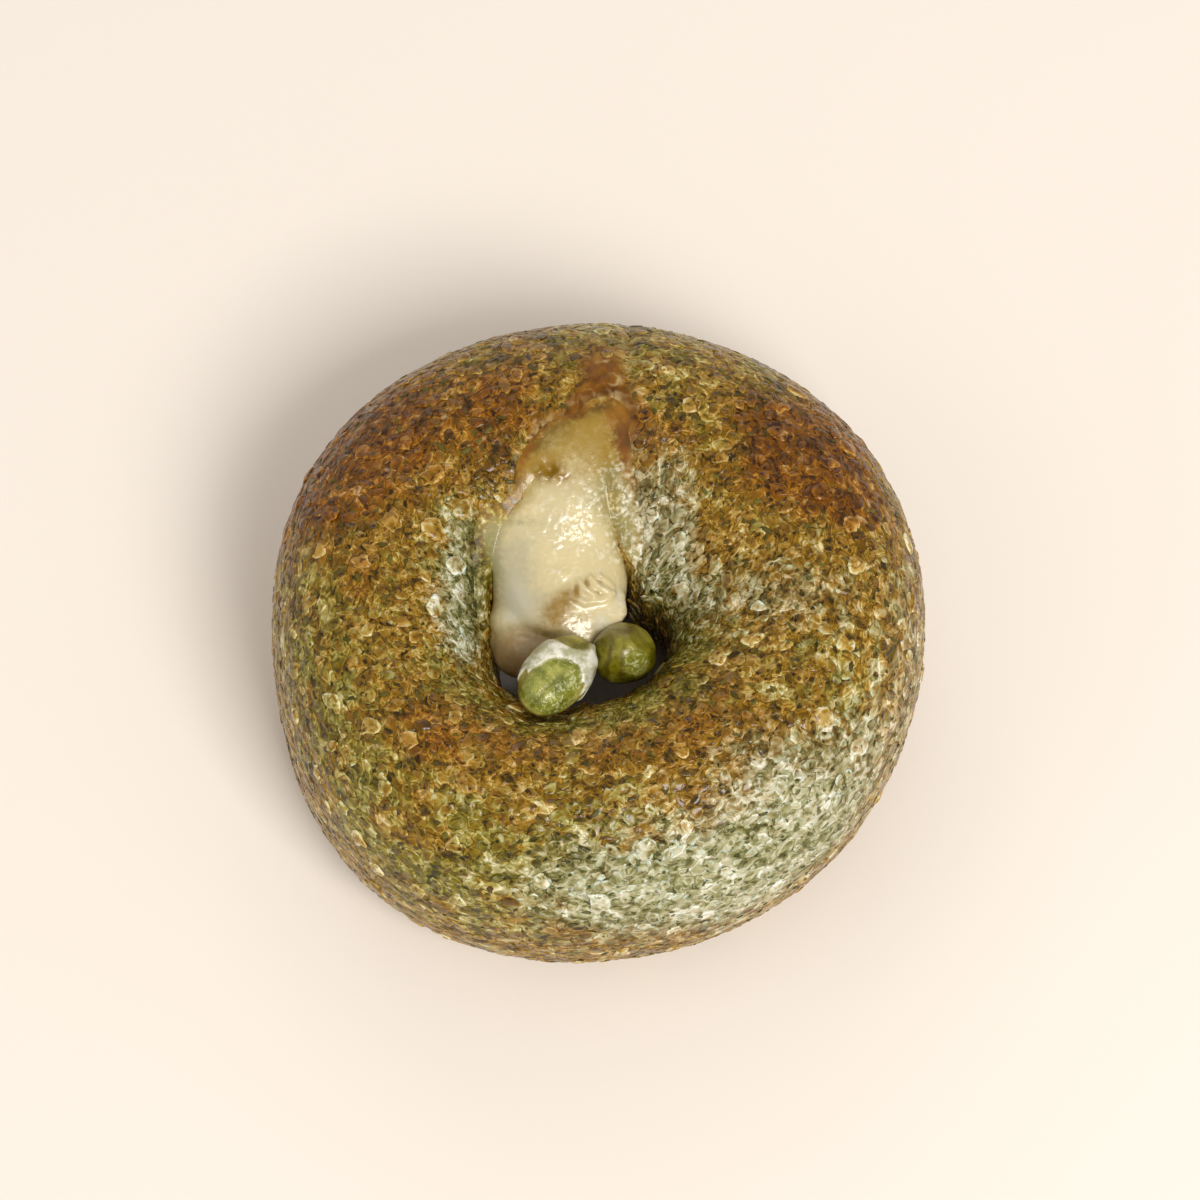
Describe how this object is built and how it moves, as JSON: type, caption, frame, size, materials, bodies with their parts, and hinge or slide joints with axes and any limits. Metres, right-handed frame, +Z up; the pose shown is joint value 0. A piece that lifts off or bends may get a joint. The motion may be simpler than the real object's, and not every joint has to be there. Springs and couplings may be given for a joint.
{
  "type": "filled seaweed bagel",
  "caption": "Plump baked seaweed bagel whose soft cheese filling has burst from the join and runs into the hole with green soybeans.",
  "frame": {"origin": "middle of the bagel's outline, on the surface that it rests on", "axes": "+Z up through the hole, +Y towards the seam at the back, where the filling burst out, +X to the right"},
  "size_m": [0.1, 0.1002, 0.046],
  "materials": {
    "crust": "baked crust, half glossy, speckled green",
    "cream_cheese": "moist and soft",
    "green_bean": "moist and smooth"
  },
  "bodies": {
    "root": {"dough": "crust", "cheese": "cream_cheese", "front_bean": "green_bean", "side_bean": "green_bean"}
  },
  "joints": []
}
